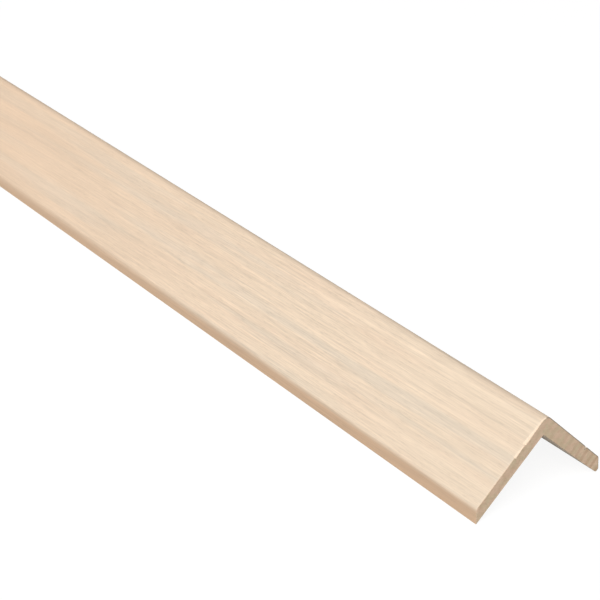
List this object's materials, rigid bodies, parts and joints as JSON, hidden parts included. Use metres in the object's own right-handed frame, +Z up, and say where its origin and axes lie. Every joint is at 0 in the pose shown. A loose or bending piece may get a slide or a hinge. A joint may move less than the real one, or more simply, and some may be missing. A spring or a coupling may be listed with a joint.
{
  "type": "cover strip",
  "caption": "Long L-shaped wooden strip that covers an outside corner, with a softly rounded ridge and bevelled tips.",
  "frame": {"origin": "on the surface that the strip lies on, under the middle of its box; the ridge runs 0.8 mm to the left of it, because the right leg is a little wider", "axes": "+Y along the strip towards its far end, +Z up through the ridge, +X across it towards the wider leg"},
  "size_m": [0.0392, 1, 0.023],
  "materials": {
    "pale_wood": "matte"
  },
  "bodies": {
    "root": {"corner_strip": "pale_wood"}
  },
  "joints": []
}
